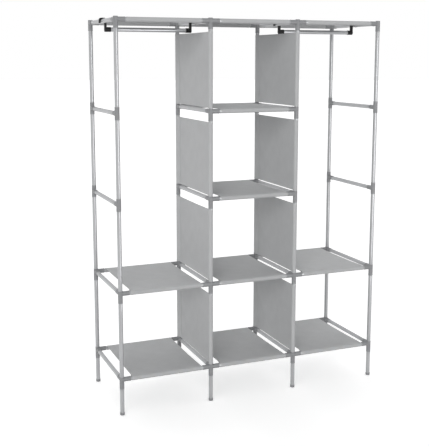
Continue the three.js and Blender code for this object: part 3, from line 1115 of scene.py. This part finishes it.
# %% Polyester thread
def polyester_thread():
    material, shader = new_material("polyester_thread", {
        "Roughness": 0.6, "Sheen Weight": 0.3, "Sheen Roughness": 0.4})
    place = add_node(material, "ShaderNodeTexCoord").outputs["Object"]
    colour = mottle(material, place, 5 * MM, ("#b9babb", "#c8c9ca"))
    # The twist is some 0.3 mm long and is drawn at 0.5 mm. A slanting band's sine takes ten times
    # the sum of the three scaled coordinates
    twist_scale = 2 * math.pi / (10 * math.sqrt(3) * 0.5 * MM)
    twist = add_node(material, "ShaderNodeTexWave",
                     {"Vector": place, "Scale": twist_scale, "Distortion": 1.0},
                     bands_direction="DIAGONAL")
    bump = add_node(material, "ShaderNodeBump",
                    {"Height": twist.outputs["Fac"], "Strength": 0.4, "Distance": 0.05 * MM})
    return finished(material, shader, {"Base Color": colour, "Normal": bump.outputs["Normal"]})


thread = polyester_thread()
print("made", thread.name)

# %% [markdown]
# A sleeve is sewn through both plies, so its stitches show on the turned ply and on the main one. A
# hem's stitches show on both faces of the sheet, from one sleeve's seam to the other's.

# %% Seams of a sheet
SEAM_READINGS = 4  # for each row or column that a seam passes


def seam_crossings(across, foremost):
    """Fractional rows at which the path crosses a stitch line: on the turned ply and on the main
    ply of the front sleeve, and, since the path is symmetric, as far from its other end."""
    rows = np.arange(len(across))
    half = len(across) // 2
    turned_ply = np.interp(-SEAM_AT, -across[:foremost], rows[:foremost])
    main_ply = np.interp(SEAM_AT, across[foremost:half], rows[foremost:half])
    return [turned_ply, main_ply, rows[-1] - turned_ply, rows[-1] - main_ply]


def seams_of(surface, normal, half_thickness, across, foremost, length):
    """All stitches of a sheet: along both plies of each sleeve, and on both faces of each hem."""
    rows, columns = surface.shape[:2]
    upper, lower = surface + normal * half_thickness, surface - normal * half_thickness
    crossings = seam_crossings(across, foremost)
    column_line = np.linspace(0, columns - 1, SEAM_READINGS * columns)
    lines = [seam_line(upper, normal, np.full(len(column_line), row), column_line)
             for row in crossings]
    row_line = np.linspace(crossings[1], crossings[3], SEAM_READINGS * rows)
    for side in (-1, 1):
        column = np.interp(side * (length / 2 - HEM_STITCH), columns_of(length), np.arange(columns))
        for face, out in ((upper, normal), (lower, -normal)):
            lines.append(seam_line(face, out, row_line, np.full(len(row_line), column)))
    points, quads = stacked([(points, quads) for points, quads, _ in lines])
    _, triangles = stacked([(points, triangles) for points, _, triangles in lines])
    return points, quads, triangles


# %% [markdown]
# Each sheet goes on its own two tubes. The path's first coordinate is the distance back from the
# front tube. Shelves run along X and hang from the tops of the rails. Dividers run up the inner
# uprights, and they stop short of the connectors above, which leaves the slots to reach through.

# %% Shelves and dividers
SHELF_SAG = 1.5 * MM
CLOTH_SHARP = 60  # degrees, so that no gather makes a sharp edge
random = np.random.default_rng(7)


def add_cloth(name, node, cloth_line, length, sag, order, at):
    """One sheet with its stitches. `order` says which of (along, across, side) becomes X, Y and Z."""
    path, stations, cut = cloth_line
    surface = middle_surface(path, length, sag, random)[..., order] + at
    normal = normals_of(surface)
    # The sleeve's foremost row has its outer face towards the front
    foremost = int(np.argmin(path[:, 0]))
    if normal[foremost, surface.shape[1] // 2, 1] > 0:
        normal = -normal
    thickness = hem_thickness(length)
    points, quads, source = thick_sheet(surface, normal, thickness)
    flat_grid = np.stack(np.broadcast_arrays(columns_of(length), stations[:, None]), axis=-1)
    flat_points = flat_grid.reshape(-1, 2)[source]
    mesh = new_mesh(name, points, quads, map_points=flat_points, sharp=CLOTH_SHARP)
    piece = add_piece(name, mesh, cloth, "shelf_fabric", "frame", node)
    half_thickness = (thickness / 2)[None, :, None]
    seams = seams_of(surface, normal, half_thickness, path[:, 0], foremost, length)
    mesh = new_mesh(name + "_stitches", *seams)
    stitches = add_piece(mesh.name, mesh, thread, "shelf_fabric", "frame", node)


for bay, (left, right) in BAYS.items():
    for level in shelf_levels[bay]:
        node = f"shelf_{bay}_level_{level}"
        at = (middle(node)[0], upright_place[left, "front"][1], level_height[level])
        add_cloth(f"shelf_cloth_{bay}_level_{level}", node, shelf_path, shelf_length, SHELF_SAG,
                  [0, 1, 2], at)

for pair in BAYS["centre"]:
    for level in LEVELS[:-1]:
        node = f"divider_{pair}_level_{level}"
        at = (*upright_place[pair, "front"], middle(node)[2])
        add_cloth(f"divider_cloth_{pair}_level_{level}", node, divider_path, extent(node)[2], 0.0,
                  [2, 1, 0], at)
print("sheets:", sum(name.endswith("stitches") for name in made), "and pieces:", len(made))

# %% [markdown]
# ## Floor, background and light
#
# The wardrobe stands in an even white studio. Wide suns from the front left, the right and the back
# light it, and the world's even light fills the rest. Sunlight doesn't fall off on its way, so the
# floor stays one tone out to the horizon, and a wide angle keeps the shadows soft. A share of one
# means that a face square to the sun, with no other light, shows its colour as it is written. The
# satin tubes also need something to mirror: a tall softbox at the front right, which only glossy
# rays meet, draws the bright line along each tube and adds no light to the cloth.

# %% Light
def studio_sun(name, towards, share, angle):
    """A sun that stands in the direction `towards`, seen from the wardrobe. It fills the shadows and
    leaves no highlight of its own."""
    lamp = bpy.data.lights.new(name, "SUN")
    lamp.energy = share * math.pi
    lamp.angle = math.radians(angle)
    sun = bpy.data.objects.new(name, lamp)
    sun.rotation_euler = Vector(towards).to_track_quat("Z", "Y").to_euler()
    sun.visible_glossy = False
    bpy.context.scene.collection.objects.link(sun)


def strip_lamp(name, place, width, height, share):
    """A tall softbox that stands on the floor and faces the wardrobe's middle, met by glossy rays
    alone. Its power is the share times pi squared times the squared distance, so that the share
    counts like a sun's."""
    lamp = bpy.data.lights.new(name, "AREA")
    lamp.shape, lamp.size, lamp.size_y = "RECTANGLE", width, height
    lamp.energy = share * math.pi ** 2 * (place[0] ** 2 + place[1] ** 2)
    box = bpy.data.objects.new(name, lamp)
    box.location = (*place, height / 2)
    box.rotation_euler = Vector((-place[0], -place[1], 0)).to_track_quat("-Z", "Y").to_euler()
    box.visible_camera = False
    box.visible_diffuse = False
    bpy.context.scene.collection.objects.link(box)


strip_lamp("front_softbox", place=(0.60, -2.65), width=1.4, height=2.2, share=0.56)
studio_sun("front_left_sun", towards=(-0.60, -0.76, 0.26), share=0.41, angle=36)
studio_sun("right_sun", towards=(0.92, -0.15, 0.35), share=0.12, angle=40)
studio_sun("back_sun", towards=(0.05, 0.75, 0.65), share=0.28, angle=50)

# %% [markdown]
# The world stands for the studio's walls. The camera and the satin tubes see it pure white, and matt
# faces get less than half of that as fill light, so that the cloth keeps its grey in front of a white
# background.

# %% World
WORLD_SHARE = 0.44  # for light that falls on matt faces. Seen or mirrored, the world is white


def seen_directly(owner):
    """One for rays that come straight from the camera or from a glossy or clear surface, else 0."""
    path = add_node(owner, "ShaderNodeLightPath")
    sum_of_two = add_node(owner, "ShaderNodeMath",
                          {0: path.outputs["Is Camera Ray"], 1: path.outputs["Is Glossy Ray"]},
                          operation="ADD")
    sum_of_three = add_node(owner, "ShaderNodeMath",
                            {0: sum_of_two.outputs[0], 1: path.outputs["Is Transmission Ray"]},
                            operation="ADD", use_clamp=True)
    return sum_of_three.outputs[0]


world = bpy.data.worlds.new("studio")
world.use_nodes = True
world.node_tree.nodes.clear()
even = add_node(world, "ShaderNodeBackground", {"Color": linear("#ffffff"), "Strength": WORLD_SHARE})
white = add_node(world, "ShaderNodeBackground", {"Color": linear("#ffffff"), "Strength": 1.0})
mixed = add_node(world, "ShaderNodeMixShader",
                 {0: seen_directly(world), 1: even.outputs[0], 2: white.outputs[0]})
add_node(world, "ShaderNodeOutputWorld", {"Surface": mixed.outputs[0]})
bpy.context.scene.world = world
print("world:", world.name, "with a fill of", WORLD_SHARE)

# %% [markdown]
# The floor is a wide disc in a pale paint. What the camera sees of it is lifted to white by a little
# glow that only direct rays meet, so the object's shadow stays and the floor sends no extra light.

# %% Floor
FLOOR_RINGS = (0, 2, 8, 60)  # radii in metres
FLOOR_SIDES = 96
FLOOR_DROP = 0.2 * MM  # below the feet, so that no face of theirs lies in it
FLOOR_CLOUDS = 0.4  # metres, the size of the paint's faint patches
FLOOR_GLOW = 0.47


def floor_disc():
    """A flat disc of rings of points, each at (radius cos angle, radius sin angle)."""
    rings = np.array([(radius, 0.0) for radius in FLOOR_RINGS])
    mesh = new_mesh("floor", *turned(rings, FLOOR_SIDES, at=(0, 0, -FLOOR_DROP)))
    if mesh.polygons[0].normal.z < 0:  # a flat disc has no inside that could tell which way is out
        mesh.flip_normals()
    floor = bpy.data.objects.new("floor", mesh)
    bpy.context.scene.collection.objects.link(floor)
    material, shader = new_material("floor_paint", {
        "Roughness": 1.0, "Specular IOR Level": 0.0, "Emission Color": linear("#ffffff")})
    place = add_node(material, "ShaderNodeTexCoord").outputs["Object"]
    colour = mottle(material, place, FLOOR_CLOUDS, ("#f2f2f2", "#f4f4f4"))
    glow = add_node(material, "ShaderNodeMath",
                    {0: seen_directly(material), 1: FLOOR_GLOW}, operation="MULTIPLY")
    mesh.materials.append(finished(material, shader, {
        "Base Color": colour, "Emission Strength": glow.outputs[0]}))
    return floor


floor_disc()
print("floor", 2 * FLOOR_RINGS[-1], "m across")

# %% [markdown]
# ## Finish
#
# Colours are shown as they are, with no film curve. The number of pieces and their triangles is
# printed.

# %% Settings and count
bpy.context.scene.view_settings.view_transform = "Standard"
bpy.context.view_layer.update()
faces = sum(len(piece.data.loop_triangles) for piece in made.values())
print(len(made), "pieces,", round(faces / 1e6, 2), "million triangles")
